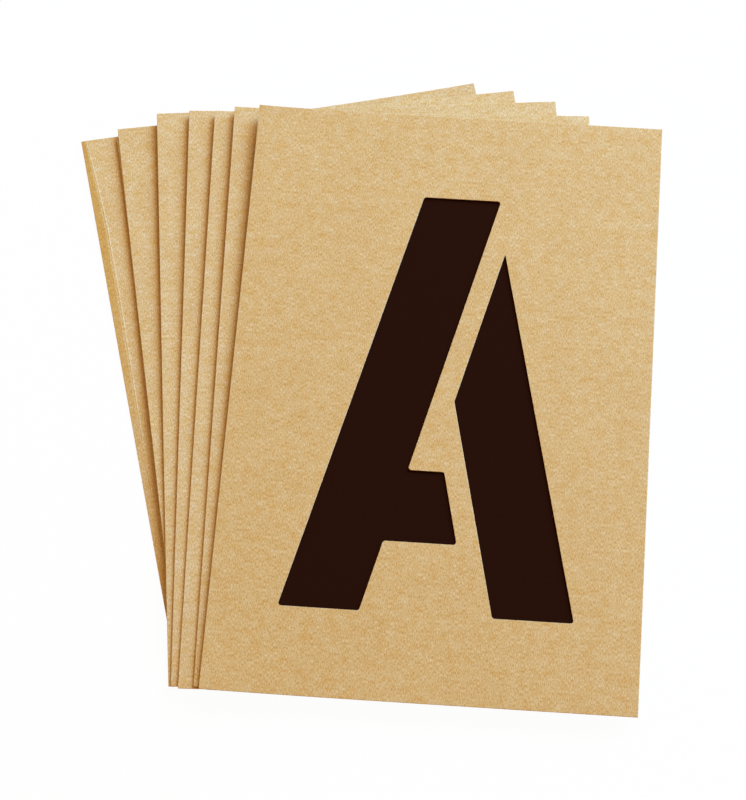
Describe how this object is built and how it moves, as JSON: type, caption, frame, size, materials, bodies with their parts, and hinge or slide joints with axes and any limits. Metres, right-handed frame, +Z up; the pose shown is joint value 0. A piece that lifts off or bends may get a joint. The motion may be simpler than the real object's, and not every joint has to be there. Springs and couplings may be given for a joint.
{
  "type": "letter stencil set",
  "caption": "Fanned pile of loose kraft board letter stencils, bridged capital letters cut through each board, with a dark slip sheet under the front board. Every board lifts off.",
  "frame": {"origin": "middle of the lowest board's underside, on the table", "axes": "+Z up from the table, +Y up the front board's letter, +X to the right of the letter"},
  "size_m": [0.2569, 0.3195, 0.0177],
  "materials": {
    "kraft_board": "matt unbleached kraft board, mottled, fine fibre speckle",
    "slip_paper": "flat dark brown paper"
  },
  "bodies": {
    "board_h": {"board_h": "kraft_board"},
    "board_g": {"board_g": "kraft_board"},
    "board_f": {"board_f": "kraft_board"},
    "board_e": {"board_e": "kraft_board"},
    "board_d": {"board_d": "kraft_board"},
    "board_c": {"board_c": "kraft_board"},
    "board_b": {"board_b": "kraft_board"},
    "slip_sheet": {"slip_sheet": "slip_paper"},
    "board_a": {"board_a": "kraft_board"}
  },
  "joints": [
    {"name": "board_g_lift", "type": "slide", "parent": "board_h", "child": "board_g", "axis": [0, 0, 1], "range_m": [0, 0.05]},
    {"name": "board_f_lift", "type": "slide", "parent": "board_g", "child": "board_f", "axis": [0, 0, 1], "range_m": [0, 0.05]},
    {"name": "board_e_lift", "type": "slide", "parent": "board_f", "child": "board_e", "axis": [0, 0, 1], "range_m": [0, 0.05]},
    {"name": "board_d_lift", "type": "slide", "parent": "board_e", "child": "board_d", "axis": [0, 0, 1], "range_m": [0, 0.05]},
    {"name": "board_c_lift", "type": "slide", "parent": "board_d", "child": "board_c", "axis": [0, 0, 1], "range_m": [0, 0.05]},
    {"name": "board_b_lift", "type": "slide", "parent": "board_c", "child": "board_b", "axis": [0, 0, 1], "range_m": [0, 0.05]},
    {"name": "slip_sheet_lift", "type": "slide", "parent": "board_b", "child": "slip_sheet", "axis": [0, 0, 1], "range_m": [0, 0.05]},
    {"name": "board_a_lift", "type": "slide", "parent": "slip_sheet", "child": "board_a", "axis": [0, 0, 1], "range_m": [0, 0.05]}
  ]
}
